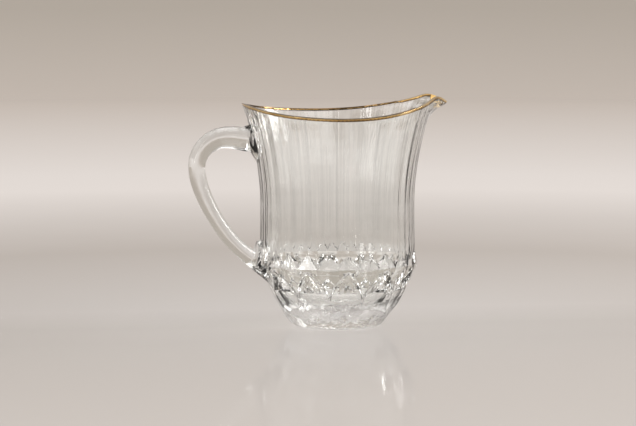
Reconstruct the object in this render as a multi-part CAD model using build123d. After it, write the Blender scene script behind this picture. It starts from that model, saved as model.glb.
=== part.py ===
from build123d import *
import math
import os

os.makedirs("parts", exist_ok=True)

# Driving dimensions in millimetres. The origin is the centre of the base,
# +Z is up, the spout points along +X and the handle stands on the -X side.
flute_count = 24
arch_count = 12
pleat_count = 5
ray_count = 24

rim_z = 190.0
rim_r = 81.4
waist_z = 105.0
waist_r = 66.1
flare_power = 1.86
crown_tip_z = 66.0
crown_base_z = 54.0
crown_r = 68.3
crown_foot_z = 50.0
crown_foot_r = 63.6
crown_notch_r = 61.0

panel_flatness = 0.70
smooth_band = 6.5
panel_fade = 5.0

foot_r = 35.2
foot_edge_r = 39.2
foot_edge_z = 2.0
belt_z = 13.0
belt_r = 47.0
belt_low_r = 36.6
petal_high_z = 44.0
petal_high_r = 63.0
diamond_low_z = 30.0
diamond_low_r = 58.2
diamond_high_r = 64.4

arch_apex_z = 52.0
ledge_z = 33.0
pleat_depth = 4.0
arch_half_width = 13.7
ray_inner_r = 4.5
ray_wide_r = 26.0
ray_outer_r = 39.0
ray_half_width = 2.9
ray_depth = 2.4

wall_rim = 3.9
wall_waist = 5.8
base_thickness = 13.0

spout_reach = 12.9
spout_z = 190.0
spout_depth = 8.0
nose_r = 12.0
lip_thickness = 3.4

band_height = 2.1
band_inside_height = 1.4
band_film = 0.25
band_spout_x = 83.0
band_spout_depth = 6.0

upper_lug_top_z = 171.0
upper_lug_bottom_z = 148.5
lower_lug_top_z = 73.0
lower_lug_bottom_z = 49.0
upper_lug_stand = 3.8
lower_lug_stand = 3.0
lower_lug_lean = 4.6
lug_width = 21.0
lug_root_width = 25.0
lug_tail = 14.0
lug_sink = 2.6

handle_reach = 54.2
handle_width = 18.0
handle_end_thickness = 20.6
handle_thickness = 13.0
handle_sections = 26

top_z = rim_z + 16.0
half_panel = 180.0 / flute_count


def polar(radius, degrees, z):
    a = math.radians(degrees)
    return Vector(radius * math.cos(a), radius * math.sin(a), z)


def smooth(table, at):
    """Value at one position of a smooth curve through (position, value) pairs."""
    last = len(table) - 1
    if at <= table[0][0]:
        return table[0][1]
    if at >= table[last][0]:
        return table[last][1]
    i = max(k for k in range(last) if table[k][0] <= at)
    slopes = []
    for k in (i, i + 1):
        low = table[max(k - 1, 0)]
        high = table[min(k + 1, last)]
        slopes.append((high[1] - low[1]) / (high[0] - low[0]))
    span = table[i + 1][0] - table[i][0]
    t = (at - table[i][0]) / span
    rise = table[i + 1][1] - table[i][1]
    bend_in = span * slopes[0] - rise
    bend_out = rise - span * slopes[1]
    return table[i][1] + t * rise + t * (1 - t) * ((1 - t) * bend_in + t * bend_out)


def outer_radius(z):
    """Radius of the flute ridges: narrow at the waist, flaring to the rim."""
    if z > waist_z:
        return waist_r + (rim_r - waist_r) * ((z - waist_z) / (rim_z - waist_z)) ** flare_power
    swell = 0.3 * ((waist_z - max(z, crown_tip_z)) / (waist_z - crown_tip_z)) ** 2
    tuck = 0.9 * (max(crown_tip_z - z, 0) / (crown_tip_z - crown_base_z)) ** 2
    return waist_r + swell - tuck


def inner_radius(z):
    """Radius of the hollow: a rounded bottom, then a wall that thins to the rim."""
    lift = (z - base_thickness) / (crown_base_z - base_thickness)
    bowl = [(0, 0.24), (0.012, 0.36), (0.045, 0.5), (0.1, 0.625), (0.18, 0.725), (0.3, 0.815), (0.46, 0.885),
            (0.7, 0.94), (1, 0.975), (1.3, 1.0)]
    share = smooth(bowl, lift)
    t = min(max((z - crown_base_z) / (rim_z - crown_base_z), 0), 1)
    wall = wall_waist + (wall_rim - wall_waist) * t
    return (outer_radius(max(z, crown_tip_z)) - wall) * share


def spout_excess(z):
    """How far the spout stands out beyond the round body at one height."""
    t = (spout_z - z) / spout_depth
    curve = [(-2.0, 0.82), (-0.6, 0.98), (0, 1.0), (0.3, 0.87), (0.56, 0.62), (0.88, 0.40), (1.4, 0.21),
             (2.1, 0.10), (3.0, 0.05), (4.5, 0.0)]
    return spout_reach * smooth(curve, t)


def rim_height(x):
    """Height of the saddle-shaped rim: high at the handle, low amidships, peaked at the spout."""
    s = x / rim_r
    curve = [(-1.25, 5.5), (-1.0, -0.2), (-0.84, -4.2), (-0.6, -7.5), (-0.3, -9.3), (0, -9.8), (0.3, -8.5),
             (0.55, -5.6), (0.76, -1.6), (0.92, 3.2), (1.0, 5.6), (1.035, 5.9), (1.08, 4.4), (1.165, 0.2),
             (1.3, -4.5)]
    return rim_z + smooth(curve, s)


def outline(degrees, body, tip, nose):
    """Plan outline: a circle drawn out to a smaller nose circle, as a radius at one angle."""
    a = math.radians(abs((degrees + 180) % 360 - 180))
    centre = tip - nose
    if centre <= (body - nose) * 1.00001:
        return body
    touch = math.acos((body - nose) / centre)
    nose_a = math.atan2(nose * math.sin(touch), centre + nose * math.cos(touch))
    if a >= touch:
        return body
    if a >= nose_a:
        return body / math.cos(a - touch)
    return centre * math.cos(a) + math.sqrt(nose ** 2 - (centre * math.sin(a)) ** 2)


def nose_angle(body, tip, nose):
    """Angle at which the nose circle hands over to the straight flank."""
    centre = tip - nose
    if centre <= (body - nose) * 1.00001:
        return 0.0
    touch = math.acos((body - nose) / centre)
    return math.degrees(math.atan2(nose * math.sin(touch), centre + nose * math.cos(touch)))


def panel_cut(degrees, z, body):
    """Depth of the flat panels below the ridge circle; it fades out below the rim."""
    off_mid = abs((degrees % (2 * half_panel)) - half_panel) / half_panel
    below = rim_height(body * math.cos(math.radians(degrees))) - smooth_band - z
    fade = min(max(below / panel_fade, 0), 1)
    fade = fade * fade * (3 - 2 * fade)
    full = body * (1 - math.cos(math.radians(half_panel)))
    return panel_flatness * full * fade * (1 - off_mid ** 2)


def ring_face(z, body, tip, nose, fluted):
    """Closed section at one height: two arcs for each flute outside, one inside."""
    weight = min(max((tip - body) / spout_reach, 0), 1)
    count = 2 * flute_count if fluted else flute_count
    step = 360.0 / count
    angles = [step * k for k in range(count + 1)]
    first = step * (1 - weight) + nose_angle(body, tip, nose) * weight
    angles[1] = first
    angles[count - 1] = 360 - first

    def point(true_angle, named_angle):
        r = outline(true_angle, body, tip, nose)
        if fluted:
            r -= panel_cut(named_angle, z, body)
        return polar(r, true_angle, z)

    edges = []
    for k in range(count):
        start = point(angles[k], step * k)
        end = point(angles[k + 1], step * (k + 1))
        middle = point((angles[k] + angles[k + 1]) / 2, step * (k + 0.5))
        chord = (start + end) * 0.5
        along = (end - start).normalized()
        outward = Vector(along.Y, -along.X, 0)
        if (middle - chord).dot(outward) < 0.01:
            middle = chord + outward * 0.01
        edges.append(Edge.make_three_point_arc(start, middle, end))
    return Face(Wire(edges))


def heights_between(low, high, count):
    return [low + (high - low) * k / count for k in range(count + 1)]


def spout_heights():
    return [spout_z + d for d in (-12, -8, -5, -2.5, 0, 4, 9)] + [top_z]


def fluted_column(grow=0.0, from_z=0.0):
    """The upper outside of the body, from the crown of points to above the rim."""
    levels = heights_between(crown_base_z, crown_tip_z, 2)[:-1]
    levels += heights_between(crown_tip_z, spout_z - 17, 9)
    levels += spout_heights()
    levels = [z for z in levels if z > from_z]
    faces = []
    for z in levels:
        body = outer_radius(z) + grow
        faces.append(ring_face(z, body, body + spout_excess(z), nose_r + grow, True))
    return loft(faces)


def hollow(grow=0.0, from_z=0.0):
    """The space inside: a bowl with a rounded bottom and the spout's channel."""
    rise = crown_base_z - base_thickness
    levels = [base_thickness + rise * s for s in (0, 0.012, 0.04, 0.09, 0.17, 0.3, 0.5, 0.75)]
    levels += heights_between(crown_base_z, spout_z - 17, 9)
    levels += spout_heights()
    levels = [z for z in levels if z > from_z]
    faces = []
    for z in levels:
        body = inner_radius(z) - grow
        tip = body + spout_excess(z) * (1 + (wall_rim - lip_thickness) / spout_reach)
        faces.append(ring_face(z, body, tip, nose_r - lip_thickness - grow, False))
    return loft(faces)


def open_vessel(outside, inside):
    """One solid from an outside and a hollow that share the plane of their tops."""
    top = max(outside.faces(), key=lambda f: f.center().Z)
    lid = max(inside.faces(), key=lambda f: f.center().Z)
    faces = [f for f in outside.faces() if not f.is_same(top)]
    faces += [f for f in inside.faces() if not f.is_same(lid)]
    faces.append(Face(top.outer_wire(), [lid.outer_wire()]))
    return Solid(Shell(faces))


def open_sleeve(outside, inside):
    """Ring of wall between an outside and a hollow that share both end planes."""
    faces = []
    ends = []
    for solid in (outside, inside):
        ordered = sorted(solid.faces(), key=lambda f: f.center().Z)
        ends.append([ordered[0], ordered[-1]])
        faces += ordered[1:-1]
    for k in (0, 1):
        faces.append(Face(ends[0][k].outer_wire(), [ends[1][k].outer_wire()]))
    return Solid(Shell(faces))


def polyhedron(points, faces):
    """Solid with flat faces, each named by its corners."""
    sides = [Face(Wire.make_polygon([points[i] for i in f], close=True)) for f in faces]
    return Solid(Shell(sides))


def facet_cone(count, turn, low_z, low_r, high_z, high_r, bottom, top):
    """Many-sided cone: flat facets through two given radii, from bottom to top."""
    slope = (high_r - low_r) / (high_z - low_z)
    corner = 1 / math.cos(math.pi / count)
    faces = []
    for z in (bottom, top):
        r = (low_r + slope * (z - low_z)) * corner
        ring = [polar(r, turn + 360 / count * (k + 0.5), z) for k in range(count)]
        faces.append(Face(Wire.make_polygon(ring, close=True)))
    return loft(faces, ruled=True)


def crown():
    """Prism whose top edge rises in pointed lancets on the flute ridges."""
    step = 2 * half_panel
    n = flute_count
    low = [polar(crown_r, step * (k + 0.5), 0) for k in range(n)]
    base = [polar(crown_r, step * (k + 0.5), crown_base_z) for k in range(n)]
    top = crown_tip_z + 1
    tips = [polar(outer_radius(top) - 0.25, step * (k + 1), top) for k in range(n)]
    notches = [polar(crown_notch_r, step * (k + 0.5), top) for k in range(n)]
    points = low + base + tips + notches + [Vector(0, 0, top)]
    faces = [list(range(n - 1, -1, -1))]
    for k in range(n):
        nxt = (k + 1) % n
        tip = 2 * n + k
        faces.append([k, nxt, n + nxt, n + k])
        faces.append([n + k, n + nxt, tip])
        faces.append([n + k, tip, 3 * n + k])
        faces.append([n + nxt, 3 * n + nxt, tip])
        faces.append([3 * n + k, tip, 4 * n])
        faces.append([tip, 3 * n + nxt, 4 * n])
    return polyhedron(points, faces)


def crown_ring():
    """The crown of points, undercut by a short chamfer below it."""
    edge_r = crown_r * math.cos(math.radians(half_panel)) + 0.1
    chamfer = facet_cone(flute_count, 0, crown_foot_z, crown_foot_r, crown_base_z, edge_r, ledge_z, crown_tip_z + 3)
    return crown() & chamfer


def cut_facets():
    """Flat facets of the lower body: diamonds, petals and the belt above the foot."""
    step = 360 / arch_count
    diamonds = facet_cone(arch_count, step / 2, diamond_low_z, diamond_low_r, crown_base_z, diamond_high_r,
                          -1, crown_tip_z + 3)
    petals = facet_cone(arch_count, 0, belt_z, belt_r, petal_high_z, petal_high_r, -1, crown_tip_z + 3)
    belt = facet_cone(arch_count, step / 2, 0, belt_low_r, belt_z, belt_r, -1, crown_tip_z + 3)
    slab = Cylinder(crown_r, crown_base_z, align=(Align.CENTER, Align.CENTER, Align.MIN))
    slope = (foot_edge_r - foot_r) / foot_edge_z
    height = crown_tip_z + 3
    foot = Cone(foot_r, foot_r + slope * height, height, align=(Align.CENTER, Align.CENTER, Align.MIN))
    return diamonds & petals & belt & foot & slab


def arch_pleats():
    """Cutter for one gothic arch: a fan of grooves that deepen down to a level ledge."""
    count = 2 * pleat_count + 1
    rise = arch_apex_z - ledge_z
    petal_slope = (petal_high_r - belt_r) / (petal_high_z - belt_z)
    points = []
    for share, narrow, sink in ((0, 1.0, 1.0), (0.36, 0.86, 0.72), (0.72, 0.52, 0.36)):
        z = ledge_z + rise * share
        half = arch_half_width * narrow
        face = min(belt_r + petal_slope * (z - belt_z), crown_r - 0.4)
        for i in range(count):
            y = half * (2 * i / (count - 1) - 1)
            ridge = 0.35 * sink * pleat_depth
            depth = ridge if i % 2 == 0 else sink * pleat_depth
            edge = abs(y) / half
            points.append(Vector(face - depth * (1 - 0.45 * edge ** 2), y, z))
        points.append(Vector(crown_r + 8, half + 1.5, z))
        points.append(Vector(crown_r + 8, -half - 1.5, z))
    points.append(Vector(crown_r - 0.1, 0, arch_apex_z))
    ring = count + 2
    faces = []
    for k in range(count - 1):
        faces.append([k, k + 1, count])
    faces.append([0, count, count + 1])
    for level in (0, 1):
        for k in range(ring):
            a = level * ring + k
            b = level * ring + (k + 1) % ring
            faces.append([a, b, b + ring])
            faces.append([a, b + ring, a + ring])
    top = 2 * ring
    for k in range(ring):
        faces.append([top + k, top + (k + 1) % ring, 3 * ring])
    return polyhedron(points, faces)


def base_ray():
    """Cutter for one ray of the star under the base."""
    points = [Vector(ray_inner_r, 0, -0.05), Vector(ray_wide_r, ray_half_width, -0.05),
              Vector(ray_outer_r, 0, -0.05), Vector(ray_wide_r, -ray_half_width, -0.05),
              Vector(ray_wide_r, 0, ray_depth)]
    faces = [[0, 3, 2, 1], [0, 1, 4], [1, 2, 4], [2, 3, 4], [3, 0, 4]]
    return polyhedron(points, faces)


def around(cutter, count, turn=0.0):
    return [Rot(0, 0, turn + 360 / count * k) * cutter for k in range(count)]


def above_rim(lift=0.0):
    """Everything over the saddle of the rim, raised by a given amount."""
    low_x = -1.2 * rim_r
    high_x = 1.3 * rim_r
    xs = [low_x + (high_x - low_x) * k / 26 for k in range(27)]
    curve = Edge.make_spline([Vector(x, 0, rim_height(x) + lift) for x in xs])
    start = curve @ 0
    end = curve @ 1
    roof = top_z + 30
    sides = Wire.make_polygon([end, Vector(end.X, 0, roof), Vector(start.X, 0, roof), start], close=False)
    face = Face(Wire([curve] + list(sides.edges())))
    return extrude(face, amount=rim_r + 30, dir=(0, 1, 0), both=True)


def upper_joint():
    """Top and bottom, as (x, z), of the flat face where the handle starts."""
    top = (-outer_radius(upper_lug_top_z) - upper_lug_stand, upper_lug_top_z)
    bottom = (-outer_radius(upper_lug_bottom_z) - upper_lug_stand, upper_lug_bottom_z)
    return top, bottom


def lower_joint():
    """Top and bottom, as (x, z), of the leaning face where the handle ends."""
    top = (-waist_r - lower_lug_stand, lower_lug_top_z)
    bottom = (-waist_r - lower_lug_stand - lower_lug_lean, lower_lug_bottom_z)
    return top, bottom


def plane_through(top, bottom):
    """Upright plane through two points of the middle plane, facing away from the body."""
    along = Vector(bottom[0] - top[0], 0, bottom[1] - top[1]).normalized()
    outward = Vector(along.Z, 0, -along.X)
    if outward.X > 0:
        outward = outward * -1
    middle = Vector((top[0] + bottom[0]) / 2, 0, (top[1] + bottom[1]) / 2)
    return Plane(origin=middle, x_dir=(0, 1, 0), z_dir=outward)


def lug(joint, root):
    """Oval boss of glass that swells from the wall to the flat face of a joint."""
    faces = []
    for (top, bottom), width in ((joint, lug_width), (root, lug_root_width)):
        height = math.hypot(top[0] - bottom[0], top[1] - bottom[1])
        faces.append((plane_through(top, bottom) * Ellipse(width / 2, height / 2)).face())
    return loft(faces)


def upper_lug():
    low_z = upper_lug_bottom_z - lug_tail
    top = (-outer_radius(upper_lug_top_z) + lug_sink, upper_lug_top_z + 1.5)
    bottom = (-outer_radius(low_z) + lug_sink, low_z)
    return lug(upper_joint(), (top, bottom))


def lower_lug():
    low_z = lower_lug_bottom_z - lug_tail
    low_wall = diamond_low_r + (diamond_high_r - diamond_low_r) * (low_z - diamond_low_z) / (crown_base_z - diamond_low_z)
    top = (-waist_r + lug_sink, lower_lug_top_z + 1.5)
    bottom = (-low_wall + lug_sink, low_z)
    return lug(lower_joint(), (top, bottom))


def handle():
    """Smooth bent rod of oval section, thickest where it was stuck on."""
    high = (upper_lug_top_z + upper_lug_bottom_z) / 2
    low = (lower_lug_top_z + lower_lug_bottom_z) / 2
    line = [(0.072, 0.988), (0.22, 0.998), (0.376, 1.013), (0.542, 1.019), (0.70, 1.003), (0.847, 0.952),
            (0.958, 0.873), (1.0, 0.778), (0.974, 0.652), (0.878, 0.502), (0.74, 0.352), (0.57, 0.209),
            (0.382, 0.087), (0.201, 0.0), (-0.002, -0.083)]
    points = [Vector(-waist_r - handle_reach * out, 0, low + (high - low) * up) for out, up in line]
    path = Edge.make_spline(points)
    slim = handle_thickness / handle_end_thickness
    girth = [(0, 1.0), (0.08, 0.97), (0.19, 0.86), (0.34, 0.74), (0.5, 0.67), (0.66, slim), (0.84, slim),
             (0.93, slim + 0.05), (1, slim + 0.14)]
    faces = []
    for k in range(handle_sections + 1):
        share = k / handle_sections
        thickness = handle_end_thickness * smooth(girth, share)
        width = handle_width * (0.9 + 0.1 * thickness / handle_end_thickness)
        section = Plane(origin=path @ share, x_dir=(0, 1, 0), z_dir=path % share)
        faces.append((section * Ellipse(width / 2, thickness / 2)).face())
    rod = loft(faces, ruled=True)
    for top, bottom in (upper_joint(), lower_joint()):
        inside = Box(80, 60, 40, align=(Align.CENTER, Align.CENTER, Align.MAX))
        rod -= plane_through(top, bottom) * inside
    return rod


def gold_band():
    """Fired gold on the lip: over its top, down both sides, and deeper inside the spout."""
    start = spout_z - 18
    wide = fluted_column(band_film, start)
    narrow = hollow(band_film, start)
    spout = Pos(band_spout_x, 0, 0) * Box(60, 60, top_z + 40, align=(Align.MIN, Align.CENTER, Align.MIN))
    top = (open_sleeve(wide, narrow) & above_rim()) - above_rim(band_film)
    outer = (open_sleeve(wide, fluted_column(0.0, start)) & above_rim(-band_height)) - above_rim(band_film / 2)
    inside = above_rim(-band_inside_height) + (above_rim(-band_spout_depth) & spout)
    inner = (open_sleeve(hollow(0.0, start), narrow) & inside) - above_rim(band_film / 2)
    return top + outer + inner


def main():
    outside = fluted_column() + crown_ring() + cut_facets()
    cutters = around(arch_pleats(), arch_count)
    del cutters[arch_count // 2]
    outside -= cutters
    outside -= around(base_ray(), ray_count, 180 / ray_count)
    glass = open_vessel(outside, hollow())
    glass -= above_rim()
    glass += upper_lug()
    glass += lower_lug()
    export_step(glass.solids()[0], "parts/glass_body.step")
    export_step(handle().solids()[0], "parts/glass_handle.step")
    export_step(gold_band().solids()[0], "parts/gold_rim_band.step")


main()
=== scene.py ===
import math

import bmesh
import bpy
from bpy.props import FloatProperty, FloatVectorProperty, PointerProperty
from bpy.types import Operator, Panel, PropertyGroup
from bpy.utils import register_class, unregister_class
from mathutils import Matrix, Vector


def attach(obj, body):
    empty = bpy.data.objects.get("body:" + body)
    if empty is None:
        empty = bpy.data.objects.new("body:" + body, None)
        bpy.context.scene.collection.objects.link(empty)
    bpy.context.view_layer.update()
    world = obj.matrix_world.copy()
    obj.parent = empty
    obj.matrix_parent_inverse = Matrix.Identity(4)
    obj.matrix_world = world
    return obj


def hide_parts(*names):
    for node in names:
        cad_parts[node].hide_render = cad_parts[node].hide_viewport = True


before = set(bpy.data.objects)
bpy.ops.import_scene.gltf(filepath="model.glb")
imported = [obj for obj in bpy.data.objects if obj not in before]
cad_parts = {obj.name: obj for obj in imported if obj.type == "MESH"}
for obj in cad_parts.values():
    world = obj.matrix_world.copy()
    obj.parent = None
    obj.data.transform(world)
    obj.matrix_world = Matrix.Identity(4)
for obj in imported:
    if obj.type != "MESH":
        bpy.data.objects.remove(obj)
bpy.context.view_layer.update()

bl_info = {
    "name": "Gilt-rimmed crystal jug",
    "version": (1, 0, 0),
    "blender": (4, 5, 0),
    "location": "3D Viewport > Sidebar > Crystal jug",
    "description": "Cut crystal water jug with a gilt lip, on a pale studio sweep",
    "category": "Object",
}

# Places on the jug, in metres. X runs from the handle to the spout, and Z is the height above the table.
WALL_RADIUS = 0.066                                     # of the fluted wall at its waist
LIP_LOW = 0.17                                          # the lip's edges all lie above this height
SPOUT_START = 0.06                                      # X where the lip turns into the spout
CROWN_TOP, CROWN_LEDGE, CROWN_LOW = 0.0541, 0.05, 0.03  # heights of the eased glass, widest at the ledge
CROWN_RADIUS = 0.0608                                   # only glass outside this radius is eased
BOSS_SPREAD = 0.34                                      # half the bosses' width, as a share of their distance
HANDLE_ENDS = -0.081                                    # the handle's end faces lie past this X
WELD_START, WELD_FULL = -0.063, -0.074                  # X where the weld's folds begin and are full
BASE_TOP, BASE_FULL = 0.03, 0.018                       # heights where the base's waves begin and are full

# The twelve pointed arches, and the cone that parts the outside of the glass from its inside
ARCHES = 12
ARCH_TOP, ARCH_FOOT = 0.0505, 0.0245                    # heights of an arch's point and foot
ARCH_LINE = 0.0011                                      # half the width of the line along its edge
CONE_FOOT, CONE_SLOPE = 0.0412, 0.36                    # radius at the table, and its growth with height

# Working of the glass and the gold
BODY_RIPPLES, HANDLE_RIPPLES = 24.0, 15.0               # fire-polish waves in a metre
MERGE_DISTANCE = 0.000002
ROUND_ANGLE = math.radians(40)                          # the handle and the gold are smooth below this
GOLD_OVER_GLASS = 0.0002                                # how much larger the gold's rounding is
FILM_SECTORS = 24                                       # in half a turn, to tell the film's two edges apart
FILM_APART = 0.002                                      # the least distance between those two edges

# Studio
SWEEP_HEIGHT = 2.6
JUG_MIDDLE = Vector((0.0, 0.0, 0.1))                    # where the lights point
LAMP_WHITE = (1.0, 0.985, 0.97)
CARD_WHITE = (1.0, 0.99, 0.97)
STUDIO_AIR = (0.62, 0.58, 0.54, 1.0)
CAMERA_PLACE = (-0.39784, -2.71302, 0.346)
CAMERA_DROP, CAMERA_TURN = 5.21, -8                     # degrees below level, and to the right
CAMERA_LENS, CAMERA_SENSOR = 182.6, 36.0                # in millimetres

# Each light: its place, width, height and colour, and the setting that holds its power
LIGHTS = {
    "overhead_softbox": ((0.1, 0.15, 1.9), 1.8, 1.4, LAMP_WHITE, "top_power"),
    "left_strip": ((-1.4, -1.0, 0.8), 0.25, 1.3, LAMP_WHITE, "left_power"),
    "right_softbox": ((1.3, 0.2, 1.0), 0.5, 1.2, LAMP_WHITE, "right_power"),
    "left_card": ((-2.2, 0.3, 0.9), 2.2, 1.8, CARD_WHITE, "card_power"),
    "right_card": ((2.2, -0.6, 0.9), 2.2, 1.8, CARD_WHITE, "card_power"),
    "front_card": ((0.9, -2.4, 1.3), 1.8, 1.4, CARD_WHITE, "card_power"),
}


# Properties

class CrystalSettings(PropertyGroup):
    """The lead crystal of the body and the handle."""
    ior: FloatProperty(
        name="Refraction", description="Index of refraction of the crystal",
        default=1.54, min=1.3, max=2.0)
    tint: FloatVectorProperty(
        name="Tint", description="Colour that the glass passes",
        subtype="COLOR", size=3, default=(0.955, 0.975, 0.967), min=0.0, max=1.0)
    crease: FloatProperty(
        name="Crease angle", description="Cut edges sharper than this stay crisp",
        subtype="ANGLE", default=math.radians(8.0))
    ripple: FloatProperty(
        name="Fire-polish ripple", description="Height of the soft waves that fire polishing leaves",
        default=0.00004, unit="LENGTH", precision=5)
    streak: FloatProperty(
        name="Drawn streaks", description="Height of the fine upright streaks in the fluted wall",
        default=0.00026, unit="LENGTH", precision=5)
    streak_low: FloatProperty(
        name="Streaks start", description="Height where the streaks begin, above the crown",
        default=0.068, unit="LENGTH")
    cord_tint: FloatVectorProperty(
        name="Cord tint", description="Colour of the fine upright cords in the glass",
        subtype="COLOR", size=3, default=(0.865, 0.877, 0.872), min=0.0, max=1.0)
    polish: FloatProperty(
        name="Body roughness", description="Roughness of the polished body",
        subtype="FACTOR", default=0.012, min=0.0, max=1.0)
    handle_polish: FloatProperty(
        name="Handle roughness", description="Roughness of the softer, drawn handle",
        subtype="FACTOR", default=0.17, min=0.0, max=1.0)
    crown_ease: FloatProperty(
        name="Crown ease", description="How much wider the glass is just below the crown of points",
        subtype="FACTOR", default=0.05, min=0.0, max=0.1)
    arch_rise: FloatProperty(
        name="Arch line", description="Height of the polished line along each arch",
        default=0.0012, unit="LENGTH", precision=5)
    sparkle: FloatProperty(
        name="Base sparkle", description="Height of the small waves in the thick glass of the base",
        default=0.0011, unit="LENGTH", precision=5)
    weld_folds: FloatProperty(
        name="Weld folds", description="Height of the folds in the glass where the handle is melted on",
        default=0.0011, unit="LENGTH", precision=5)
    weld_depth: FloatProperty(
        name="Weld depth", description="How far the handle's ends melt into their bosses",
        default=0.0015, unit="LENGTH", precision=4)
    lip_round: FloatProperty(
        name="Lip rounding", description="Radius of the fire-polished lip",
        default=0.0011, unit="LENGTH", precision=4)


class GiltSettings(PropertyGroup):
    """The fired gold on the lip."""
    # Painted highlight: the colour painted on the top and outer side of the lip.
    bright: FloatVectorProperty(
        name="Bright gold", description="Colour of the gold on top of the lip",
        subtype="COLOR", size=3, default=(0.86, 0.68, 0.38), min=0.0, max=1.0)
    colour: FloatVectorProperty(
        name="Gold", description="Colour of the fired gold",
        subtype="COLOR", size=3, default=(0.66, 0.44, 0.17), min=0.0, max=1.0)
    # Rubbed gold, and also painted shade on the inner side of the lip.
    wear_and_shade: FloatVectorProperty(
        name="Worn gold", description="Darker gold where hands and cloths have rubbed",
        subtype="COLOR", size=3, default=(0.36, 0.22, 0.08), min=0.0, max=1.0)
    # Painted shade: the colour of the lip's inner side and of the dark line along the film's lower edges,
    # where the gold also runs out.
    thin_gold_and_shade: FloatVectorProperty(
        name="Thin gold", description="Brown edge where the gold film runs out",
        subtype="COLOR", size=3, default=(0.12, 0.075, 0.035), min=0.0, max=1.0)
    shine: FloatProperty(
        name="Roughness", description="Roughness of the gold",
        subtype="FACTOR", default=0.12, min=0.0, max=1.0)
    outer_rise: FloatProperty(
        name="Outer rise", description="How far the film's edge outside the lip is pulled up",
        default=0.0004, unit="LENGTH", precision=5)
    inner_rise: FloatProperty(
        name="Inner rise", description="How far the film's edge inside the lip is pulled up",
        default=0.001, unit="LENGTH", precision=5)


class StudioSettings(PropertyGroup):
    """The pale sweep that the jug stands on, and its light."""
    radius: FloatProperty(
        name="Sweep radius", description="Distance from the jug to the wall of the sweep",
        default=3.5, unit="LENGTH")
    # The floor and wall colours are painted light and shade: darker under and just behind the jug, a painted
    # pool of light in the lightest ring, and painted shade on the wall.
    near: FloatVectorProperty(
        name="Near floor", description="Colour of the floor under the jug",
        subtype="COLOR", size=3, default=(0.505, 0.474, 0.452), min=0.0, max=1.0)
    front: FloatVectorProperty(
        name="Front floor", description="Colour of the floor in front of the jug",
        subtype="COLOR", size=3, default=(0.66, 0.615, 0.58), min=0.0, max=1.0)
    middle: FloatVectorProperty(
        name="Middle floor", description="Colour of the darker ring just behind the jug",
        subtype="COLOR", size=3, default=(0.475, 0.43, 0.395), min=0.0, max=1.0)
    bright: FloatVectorProperty(
        name="Bright band", description="Colour of the lightest ring of the floor",
        subtype="COLOR", size=3, default=(0.765, 0.708, 0.669), min=0.0, max=1.0)
    far: FloatVectorProperty(
        name="Far floor", description="Colour where the floor meets the wall",
        subtype="COLOR", size=3, default=(0.60, 0.53, 0.475), min=0.0, max=1.0)
    wall: FloatVectorProperty(
        name="Wall", description="Colour of the wall",
        subtype="COLOR", size=3, default=(0.46, 0.408, 0.355), min=0.0, max=1.0)
    sheen: FloatProperty(
        name="Floor roughness", description="How soft the reflection in the floor is",
        subtype="FACTOR", default=0.07, min=0.0, max=1.0)
    mirror: FloatProperty(
        name="Floor gloss", description="Share of the reflection in the floor by the jug",
        subtype="FACTOR", default=0.44, min=0.0, max=1.0)
    top_power: FloatProperty(
        name="Overhead light", description="Power of the overhead softbox in watts",
        unit="POWER", default=22.0)
    left_power: FloatProperty(
        name="Left light", description="Power of the left strip in watts",
        unit="POWER", default=6.0)
    right_power: FloatProperty(
        name="Right light", description="Power of the right softbox in watts",
        unit="POWER", default=26.0)
    card_power: FloatProperty(
        name="Side cards", description="Power of each large white card in watts",
        unit="POWER", default=14.0)


# Materials

class Reading:
    """A shader value that can be used in Python expressions; each operation adds a Math node."""

    def __init__(self, finish, socket):
        self.finish = finish
        self.socket = socket

    def _math(self, operation, *values):
        return self.finish.add("ShaderNodeMath", dict(enumerate(values)), operation=operation)

    def __add__(self, other):
        return self._math("ADD", self, other)

    __radd__ = __add__

    def __sub__(self, other):
        return self._math("SUBTRACT", self, other)

    def __rsub__(self, other):
        return self._math("SUBTRACT", other, self)

    def __mul__(self, other):
        return self._math("MULTIPLY", self, other)

    __rmul__ = __mul__

    def __abs__(self):
        return self._math("ABSOLUTE", self)

    def root(self):
        return self._math("SQRT", self)

    def at_most(self, other):
        return self._math("MINIMUM", self, other)

    def folded(self, span):
        """Goes up to the span, back to 0, up again and so on."""
        return self._math("PINGPONG", self, span)

    def turn_from(self, along):
        """The angle of the point whose sideways and forward places are this value and the other."""
        return self._math("ARCTAN2", self, along)


class Finish:
    """A material that is put together node by node."""

    def __init__(self, name):
        self.material = bpy.data.materials.new(name)
        self.material.use_nodes = True
        self.tree = self.material.node_tree
        self.tree.nodes.clear()

    def add(self, kind, inputs=None, out=0, stops=None, **settings):
        """Adds one node: its settings and ramp stops first, then its inputs. Returns one of its outputs."""
        node = self.tree.nodes.new(kind)
        for name, value in settings.items():
            setattr(node, name, value)
        if stops:
            ramp = node.color_ramp
            while len(ramp.elements) < len(stops):
                ramp.elements.new(0.5)
            for element, (position, colour) in zip(ramp.elements, stops):
                element.position = position
                element.color = (*colour, 1.0)
        for name, value in (inputs or {}).items():
            if isinstance(value, Reading):
                self.tree.links.new(value.socket, node.inputs[name])
            elif node.inputs[name].type == "RGBA":
                node.inputs[name].default_value = (*value, 1.0)
            else:
                node.inputs[name].default_value = value
        return Reading(self, node.outputs[out])

    def done(self, surface):
        output = self.tree.nodes.new("ShaderNodeOutputMaterial")
        self.tree.links.new(surface.socket, output.inputs["Surface"])
        return self.material


def noise(finish, place, scale, detail, roughness=0.5):
    """Soft random waves, from 0 to 1."""
    return finish.add("ShaderNodeTexNoise", {
        "Vector": place, "Scale": scale, "Detail": detail, "Roughness": roughness})


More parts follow.
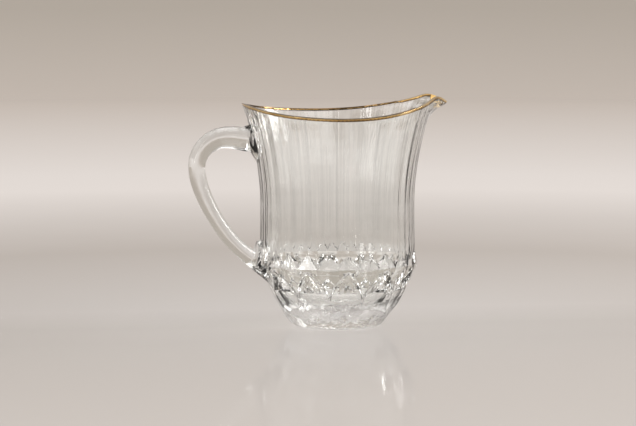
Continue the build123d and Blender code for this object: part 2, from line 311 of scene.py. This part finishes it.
def between(finish, value, low, high, to_low=0.0, to_high=1.0):
    """A value that goes from one number to another while the first value goes from low to high."""
    return finish.add("ShaderNodeMapRange", {
        "Value": value, "From Min": low, "From Max": high, "To Min": to_low, "To Max": to_high})


def blend(finish, share, first, second):
    """The first colour where the share is 0, the second where it is 1."""
    return finish.add("ShaderNodeMix", {0: share, 6: first, 7: second}, out=2, data_type="RGBA")


def axis(finish, vector, name):
    """The X, Y or Z of a vector."""
    return finish.add("ShaderNodeSeparateXYZ", {0: vector}, out=name)


def level(finish, place):
    """A place with its height taken out."""
    return finish.add("ShaderNodeVectorMath", {0: place, 1: (1.0, 1.0, 0.0)}, operation="MULTIPLY")


def outwards(finish, place):
    """The level direction from the jug's upright axis to a place."""
    return finish.add("ShaderNodeVectorMath", {0: level(finish, place)}, operation="NORMALIZE")


def distance(finish, place):
    """How far a place is from the jug's upright axis."""
    return finish.add("ShaderNodeVectorMath", {0: level(finish, place)}, out="Value", operation="LENGTH")


def crystal(name, settings, ripples, polish, cut):
    """Lead crystal, fire polished: clear, softly rippled and faintly clouded. The cut body has more marks."""
    finish = Finish(name)
    place = finish.add("ShaderNodeTexCoord", out="Object")
    cloud = noise(finish, place, 60.0, 4.0, 0.6)
    soft = between(finish, cloud, 0.35, 0.75, polish * 0.4, polish * 1.6)
    tone = blend(finish, cloud, settings.tint, (0.985, 0.985, 0.98))
    height = noise(finish, place, ripples, 2.0, 0.4) * settings.ripple
    if cut:
        cords, streaks = drawn_streaks(finish, place, settings.streak_low)
        tone = blend(finish, cords, tone, settings.cord_tint)
        height = height + streaks * settings.streak
        height = height + arch_lines(finish, place) * settings.arch_rise
        height = height + base_waves(finish, place) * settings.sparkle
        height = height + weld_folds(finish, place) * settings.weld_folds
    waves = finish.add("ShaderNodeBump", {"Height": height, "Strength": 1.0, "Distance": 1.0})
    glass = finish.add("ShaderNodeBsdfPrincipled", {
        "Base Color": tone, "Roughness": soft, "IOR": settings.ior, "Transmission Weight": 1.0,
        "Normal": waves})
    clear = finish.add("ShaderNodeBsdfTransparent", {"Color": (0.93, 0.93, 0.93)})
    shadow_ray = finish.add("ShaderNodeLightPath", out="Is Shadow Ray")
    both = finish.add("ShaderNodeMixShader", {0: shadow_ray, 1: glass, 2: clear})
    return finish.done(both)


def drawn_streaks(finish, place, low):
    """Upright cords and streaks, drawn out along the height of the fluted wall: their tone and waves."""
    stretched = finish.add("ShaderNodeVectorMath", {0: place, 1: (0.0, 0.0, 0.008)}, operation="MULTIPLY")
    wrapped = finish.add("ShaderNodeVectorMath", {
        0: outwards(finish, place), 1: (WALL_RADIUS,) * 3, 2: stretched}, operation="MULTIPLY_ADD")
    broad = noise(finish, wrapped, 95.0, 1.0)
    fine = noise(finish, wrapped, 420.0, 1.0)
    wall = between(finish, axis(finish, place, "Z"), low, low + 0.02)
    cords = between(finish, fine * 0.7 + broad * 0.3, 0.44, 0.64)
    return cords * wall, (broad * 1.6 + fine) * wall


def arch_lines(finish, place):
    """A polished line along the edge of each pointed arch, on the outside of the body."""
    up = axis(finish, place, "Z")
    turn = axis(finish, place, "Y").turn_from(axis(finish, place, "X"))
    half = math.pi / ARCHES
    part = (turn + math.tau).folded(half) * (1 / half)
    edge = (1.0 - part).root() * (ARCH_TOP - ARCH_FOOT) + ARCH_FOOT
    line = between(finish, abs(up - edge), ARCH_LINE, 0.0)
    outside = between(finish, distance(finish, place) - up * CONE_SLOPE - CONE_FOOT, 0.0, 0.001)
    return line * outside


def base_waves(finish, place):
    """Small waves in the thick glass of the base."""
    base = between(finish, axis(finish, place, "Z"), BASE_TOP, BASE_FULL)
    return noise(finish, place, 170.0, 2.0) * base


def weld_folds(finish, place):
    """Upright folds in the two bosses, where the handle is melted on."""
    weld = between(finish, axis(finish, place, "X"), WELD_START, WELD_FULL)
    flow = finish.add("ShaderNodeMapping", {"Vector": place, "Scale": (1.0, 1.0, 0.3)})
    return noise(finish, flow, 210.0, 1.0) * weld


def fired_gold(settings):
    """Fired liquid gold with painted light: a painted highlight on top and outside, painted shade inside the
    lip, a dark brown line of painted shade along the film's edges, where its gold also runs out, and rubbed
    places.
    """
    finish = Finish("fired_gold")
    place = finish.add("ShaderNodeTexCoord", out="Object")
    facing = finish.add("ShaderNodeTexCoord", out="Normal")
    upward = axis(finish, facing, "Z")
    outward = finish.add("ShaderNodeVectorMath", {0: facing, 1: outwards(finish, place)},
                         out="Value", operation="DOT_PRODUCT")
    strokes = noise(finish, place, 55.0, 5.0, 0.65)
    drops = noise(finish, place, 14.0, 2.0)
    # The film's lower edges, darkened as a painted line of shade.
    edge_shade_line = finish.add("ShaderNodeAttribute", out="Fac", attribute_name="film_edge")
    # Painted light: faces that look up and out get a painted highlight, the lip's inner side and the film's
    # lower edges get painted shade; the stroke and drop noises are rubbed wear.
    sheen_shade_and_wear = (outward * 0.3 + upward * 0.35 + (strokes - 0.5) * 0.6 + (drops - 0.5) * 1.9
                 - edge_shade_line * 0.7 + 0.46)
    tone = finish.add("ShaderNodeValToRGB", {"Fac": sheen_shade_and_wear}, stops=(
        (0.08, settings.thin_gold_and_shade), (0.32, settings.wear_and_shade), (0.55, settings.colour), (0.80, settings.bright)))
    shine = between(finish, strokes, 0.0, 1.0, settings.shine * 0.6, settings.shine * 1.7)
    waves = finish.add("ShaderNodeBump", {"Height": strokes, "Strength": 0.6, "Distance": 0.0001})
    gold = finish.add("ShaderNodeBsdfPrincipled", {
        "Base Color": tone, "Roughness": shine, "Metallic": 1.0, "Normal": waves})
    return finish.done(gold)


def sweep_paper(settings):
    """Pale sweep with painted light and shade: its tone follows the distance from the jug, with a painted
    pool of light in a pale ring and painted shade on the wall, and seen rays get that tone as glow; near the
    jug it is a little glossy.
    """
    finish = Finish("studio_sweep")
    place = finish.add("ShaderNodeTexCoord", out="Object")
    away = distance(finish, place)
    depth = axis(finish, place, "Y")
    grain = noise(finish, place, 9.0, 4.0, 0.6)
    # The rings' places are shares of 5 metres along the sweep, and its wall counts four times over
    along = (away + axis(finish, place, "Z") * 4.0) * 0.2 + (grain - 0.5) * 0.01
    # Painted light and shade in rings along the sweep, from the darker floor by the jug to a painted pool of
    # light and a shaded wall.
    painted_light_rings = finish.add("ShaderNodeValToRGB", {"Fac": along}, stops=(
        (0.03, settings.near), (0.13, settings.middle), (0.28, settings.bright),
        (0.33, settings.bright), (0.66, settings.far), (0.84, settings.wall)))
    tone = blend(finish, between(finish, depth, -0.1, -0.9), painted_light_rings, settings.front)
    lit = finish.add("ShaderNodeBsdfDiffuse", {"Color": tone})
    # The sweep glows with its painted tone for camera, glossy and transmission rays, though it is no lamp.
    glow = finish.add("ShaderNodeEmission", {"Color": tone, "Strength": 1.0})
    camera_ray = finish.add("ShaderNodeLightPath", out="Is Camera Ray")
    glossy_ray = finish.add("ShaderNodeLightPath", out="Is Glossy Ray")
    through_ray = finish.add("ShaderNodeLightPath", out="Is Transmission Ray")
    seen = (camera_ray + glossy_ray + through_ray).at_most(1.0)
    share = between(finish, away, 0.2, 1.0, 0.7, 0.9)
    ground = finish.add("ShaderNodeMixShader", {0: seen * share, 1: lit, 2: glow})
    waver = noise(finish, place, 30.0, 3.0)
    dents = finish.add("ShaderNodeBump", {"Height": waver, "Strength": 0.3, "Distance": 0.0005})
    gloss = finish.add("ShaderNodeBsdfGlossy", {
        "Color": (0.95, 0.95, 0.95), "Roughness": settings.sheen, "Normal": dents})
    shine = between(finish, away, 0.2, 1.2, settings.mirror, 0.0)
    grazing = finish.add("ShaderNodeFresnel", {"IOR": 1.25})
    polished = between(finish, depth, 0.12, 0.0)
    surface = finish.add("ShaderNodeMixShader", {0: shine * grazing * polished, 1: ground, 2: gloss})
    return finish.done(surface)


# Modelling helpers

def only(piece):
    """Selects one object and nothing else."""
    bpy.ops.object.select_all(action="DESELECT")
    piece.select_set(True)
    bpy.context.view_layer.objects.active = piece


def edit(piece, kind):
    """Opens one piece in edit mode with nothing selected, and returns its mesh."""
    only(piece)
    bpy.ops.object.mode_set(mode="EDIT")
    bpy.ops.mesh.select_mode(type=kind)
    bpy.ops.mesh.select_all(action="DESELECT")
    return bmesh.from_edit_mesh(piece.data)


def merged_copy(node, name, crease):
    """A merged copy of a CAD solid, with its curved faces smooth and its cut edges crisp."""
    piece = bpy.data.objects.new(name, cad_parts[node].data.copy())
    piece.data.name = name
    bpy.context.scene.collection.objects.link(piece)
    only(piece)
    if piece.data.has_custom_normals:
        bpy.ops.mesh.customdata_custom_splitnormals_clear()
    bpy.ops.object.mode_set(mode="EDIT")
    bpy.ops.mesh.select_all(action="SELECT")
    bpy.ops.mesh.remove_doubles(threshold=MERGE_DISTANCE)
    bpy.ops.object.mode_set(mode="OBJECT")
    bpy.ops.object.shade_smooth_by_angle(angle=crease)
    return piece


def round_lip(piece, radius):
    """Rounds the two long edges of the lip: sharp edges near the top with one face that looks up."""
    shape = edit(piece, "EDGE")
    for edge in shape.edges:
        if len(edge.link_faces) == 2 and min(v.co.z for v in edge.verts) > LIP_LOW:
            side, top = sorted(face.normal.z for face in edge.link_faces)
            edge.select_set(top > 0.8 and side < 0.6 and edge.calc_face_angle() > math.radians(45))
    bmesh.update_edit_mesh(piece.data)
    bpy.ops.mesh.bevel(offset=radius, offset_type="OFFSET", segments=3, profile=0.5, clamp_overlap=True)
    bpy.ops.object.mode_set(mode="OBJECT")


def ease_crown(piece, swell):
    """Widens the cut glass below the crown, slice by slice, so that the outline runs on to the facets."""
    shape = edit(piece, "VERT")
    step = 0.0004
    for slice_number in range(int((CROWN_TOP - CROWN_LOW) / step)):
        z = CROWN_LOW + (slice_number + 0.5) * step
        if z > CROWN_LEDGE:
            share = (CROWN_TOP - z) / (CROWN_TOP - CROWN_LEDGE)
        else:
            share = (z - CROWN_LOW) / (CROWN_LEDGE - CROWN_LOW)
        for vertex in shape.verts:
            radius = math.hypot(vertex.co.x, vertex.co.y)
            by_handle = vertex.co.x < 0 and abs(vertex.co.y) < BOSS_SPREAD * radius
            in_slice = abs(vertex.co.z - z) <= step / 2
            vertex.select_set(in_slice and radius > CROWN_RADIUS and not by_handle)
        shape.select_flush_mode()
        bmesh.update_edit_mesh(piece.data)
        grow = 1 + swell * share
        bpy.ops.transform.resize(value=(grow, grow, 1), center_override=(0, 0, 0))
    bpy.ops.object.mode_set(mode="OBJECT")


def sink_ends(handle, depth):
    """Pushes the handle's two flat end faces a little way into the bosses that carry it."""
    shape = edit(handle, "FACE")
    for face in shape.faces:
        face.select_set(face.normal.x > 0.9 and face.calc_center_median().x > HANDLE_ENDS)
    bmesh.update_edit_mesh(handle.data)
    bpy.ops.transform.translate(value=(depth, 0, 0))
    bpy.ops.object.mode_set(mode="OBJECT")


def melt_together(body, handle):
    """Joins the handle to the body, then parts them along the weld, so that the glass has no inner wall."""
    for index, piece in enumerate((body, handle)):
        piece.data.materials.clear()
        piece.data.materials.append(bpy.data.materials["cut_crystal"])
        piece.data.materials.append(bpy.data.materials["drawn_crystal"])
        piece.data.polygons.foreach_set("material_index", [index] * len(piece.data.polygons))
    only(body)
    weld = body.modifiers.new("weld", "BOOLEAN")
    weld.operation = "UNION"
    weld.solver = "EXACT"
    weld.object = handle
    bpy.ops.object.modifier_apply(modifier=weld.name)
    bpy.data.objects.remove(handle)
    only(body)
    bpy.ops.object.mode_set(mode="EDIT")
    bpy.ops.mesh.separate(type="MATERIAL")
    bpy.ops.object.mode_set(mode="OBJECT")
    handle, body = sorted(bpy.context.selected_objects,
                          key=lambda part: min(v.co.x for v in part.data.vertices))
    return body, handle


def mark_film_edge(piece, outer_rise, inner_rise):
    """Marks the lower edges of the gold film, where its material paints a dark line of shade, and pulls them
    up, most inside the lip.
    """
    shape = edit(piece, "VERT")
    lower = {}
    widest = {}
    for vertex in shape.verts:
        if any(face.normal.z < -0.5 for face in vertex.link_faces):
            sector = round(math.atan2(vertex.co.y, vertex.co.x) * FILM_SECTORS / math.pi)
            radius = math.hypot(vertex.co.x, vertex.co.y)
            lower[vertex.index] = (sector, radius)
            widest[sector] = max(widest.get(sector, 0.0), radius)
    inside = {number for number, (sector, radius) in lower.items() if radius < widest[sector] - FILM_APART}
    for rise, wanted in ((outer_rise, False), (inner_rise, True)):
        bpy.ops.mesh.select_all(action="DESELECT")
        shape = bmesh.from_edit_mesh(piece.data)
        shape.verts.ensure_lookup_table()
        for number in lower:
            vertex = shape.verts[number]
            vertex.select_set((number in inside) == wanted and vertex.co.x < SPOUT_START)
        shape.select_flush_mode()
        bmesh.update_edit_mesh(piece.data)
        bpy.ops.transform.translate(value=(0, 0, rise))
    bpy.ops.object.mode_set(mode="OBJECT")
    mark = piece.data.attributes.new("film_edge", "FLOAT", "POINT")
    for number in lower:
        mark.data[number].value = 1.0


def finish_piece(piece, material, slot_name, *nodes):
    """Gives a piece its material and its place in the frame."""
    piece.data.materials.clear()
    piece.data.materials.append(material)
    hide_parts(*nodes)
    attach(piece, "root")


def softbox(name, place, width, height, colour, power):
    """A rectangular soft light that points at the middle of the jug."""
    bpy.ops.object.light_add(type="AREA", location=place)
    lamp = bpy.context.object
    lamp.name = name
    lamp.data.shape = "RECTANGLE"
    lamp.data.size = width
    lamp.data.size_y = height
    lamp.data.energy = power
    lamp.data.color = colour
    lamp.rotation_euler = (lamp.location - JUG_MIDDLE).to_track_quat("Z", "Y").to_euler()
    lamp.visible_camera = False


def round_sweep(settings):
    """A round floor with an upright wall at its edge."""
    bpy.ops.object.select_all(action="DESELECT")
    bpy.ops.mesh.primitive_circle_add(vertices=128, radius=settings.radius, fill_type="NGON")
    sweep = bpy.context.object
    sweep.name = "studio_sweep"
    bpy.ops.object.mode_set(mode="EDIT")
    bpy.ops.mesh.select_mode(type="EDGE")
    bpy.ops.mesh.select_all(action="SELECT")
    bpy.ops.mesh.region_to_loop()
    bpy.ops.mesh.extrude_edges_move(TRANSFORM_OT_translate={"value": (0, 0, SWEEP_HEIGHT)})
    bpy.ops.object.mode_set(mode="OBJECT")
    bpy.ops.object.shade_smooth_by_angle(angle=math.radians(30))
    sweep.data.materials.append(sweep_paper(settings))


def photo_camera(scene):
    """The camera, as it stood for the photograph."""
    tilt = (math.radians(90 - CAMERA_DROP), 0, math.radians(CAMERA_TURN))
    bpy.ops.object.camera_add(location=CAMERA_PLACE, rotation=tilt)
    camera = bpy.context.object
    camera.name = "photo_camera"
    camera.data.lens = CAMERA_LENS
    camera.data.sensor_width = CAMERA_SENSOR
    scene.camera = camera
    scene.view_settings.view_transform = "Standard"


# Operators

class JUG_OT_crystal_body(Operator):
    """Cut crystal body with its flutes, crown of points, arches and spout"""
    bl_idname = "jug.crystal_body"
    bl_label = "Crystal body"

    def execute(self, context):
        settings = context.scene.jug_crystal
        crystal("cut_crystal", settings, BODY_RIPPLES, settings.polish, True)
        body = merged_copy("glass_body", "crystal_body", settings.crease)
        ease_crown(body, settings.crown_ease)
        round_lip(body, settings.lip_round)
        return {"FINISHED"}


class JUG_OT_crystal_handle(Operator):
    """Smooth bent rod of crystal, melted on at both ends"""
    bl_idname = "jug.crystal_handle"
    bl_label = "Crystal handle"

    def execute(self, context):
        settings = context.scene.jug_crystal
        crystal("drawn_crystal", settings, HANDLE_RIPPLES, settings.handle_polish, False)
        handle = merged_copy("glass_handle", "crystal_handle", settings.crease)
        sink_ends(handle, settings.weld_depth)
        body, handle = melt_together(bpy.data.objects["crystal_body"], handle)
        for piece, name, crease in ((handle, "crystal_handle", ROUND_ANGLE),
                                    (body, "crystal_body", settings.crease)):
            piece.name = name
            piece.data.name = name
            only(piece)
            bpy.ops.object.shade_smooth_by_angle(angle=crease)
        finish_piece(body, bpy.data.materials["cut_crystal"], "crystal", "glass_body")
        finish_piece(handle, bpy.data.materials["drawn_crystal"], "handle_glass", "glass_handle")
        return {"FINISHED"}


class JUG_OT_gilt_lip(Operator):
    """Band of fired gold along the whole lip"""
    bl_idname = "jug.gilt_lip"
    bl_label = "Gilt lip"

    def execute(self, context):
        gilt = context.scene.jug_gilt
        lip = merged_copy("gold_rim_band", "gilt_lip", ROUND_ANGLE)
        round_lip(lip, context.scene.jug_crystal.lip_round + GOLD_OVER_GLASS)
        mark_film_edge(lip, gilt.outer_rise, gilt.inner_rise)
        bpy.ops.object.shade_smooth_by_angle(angle=ROUND_ANGLE)
        finish_piece(lip, fired_gold(gilt), "gilding", "gold_rim_band")
        return {"FINISHED"}


class JUG_OT_studio(Operator):
    """Pale round sweep, soft lights and the camera"""
    bl_idname = "jug.studio"
    bl_label = "Studio"

    def execute(self, context):
        settings = context.scene.jug_studio
        round_sweep(settings)
        for name, (place, width, height, colour, power) in LIGHTS.items():
            softbox(name, place, width, height, colour, getattr(settings, power))
        world = bpy.data.worlds.new("studio_air")
        world.use_nodes = True
        background = world.node_tree.nodes["Background"]
        background.inputs["Color"].default_value = STUDIO_AIR
        background.inputs["Strength"].default_value = 0.8
        context.scene.world = world
        photo_camera(context.scene)
        return {"FINISHED"}


class JUG_PT_workshop(Panel):
    """Lists the jug's pieces in the sidebar"""
    bl_label = "Crystal jug"
    bl_idname = "JUG_PT_workshop"
    bl_space_type = "VIEW_3D"
    bl_region_type = "UI"
    bl_category = "Crystal jug"

    def draw(self, context):
        for title, group, operators in STEPS:
            box = self.layout.box()
            box.label(text=title)
            settings = getattr(context.scene, group)
            for name in settings.bl_rna.properties.keys():
                if name not in ("rna_type", "name"):
                    box.prop(settings, name)
            for operator in operators:
                box.operator(operator)


STEPS = (
    ("Crystal", "jug_crystal", ("jug.crystal_body", "jug.crystal_handle")),
    ("Gold", "jug_gilt", ("jug.gilt_lip",)),
    ("Studio", "jug_studio", ("jug.studio",)),
)
CLASSES = (CrystalSettings, GiltSettings, StudioSettings, JUG_OT_crystal_body, JUG_OT_crystal_handle,
           JUG_OT_gilt_lip, JUG_OT_studio, JUG_PT_workshop)


def register():
    for cls in CLASSES:
        register_class(cls)
    bpy.types.Scene.jug_crystal = PointerProperty(type=CrystalSettings)
    bpy.types.Scene.jug_gilt = PointerProperty(type=GiltSettings)
    bpy.types.Scene.jug_studio = PointerProperty(type=StudioSettings)


def unregister():
    del bpy.types.Scene.jug_studio
    del bpy.types.Scene.jug_gilt
    del bpy.types.Scene.jug_crystal
    for cls in reversed(CLASSES):
        unregister_class(cls)


def main():
    register()
    bpy.ops.jug.crystal_body()
    bpy.ops.jug.crystal_handle()
    bpy.ops.jug.gilt_lip()
    bpy.ops.jug.studio()


if __name__ == "__main__":
    main()
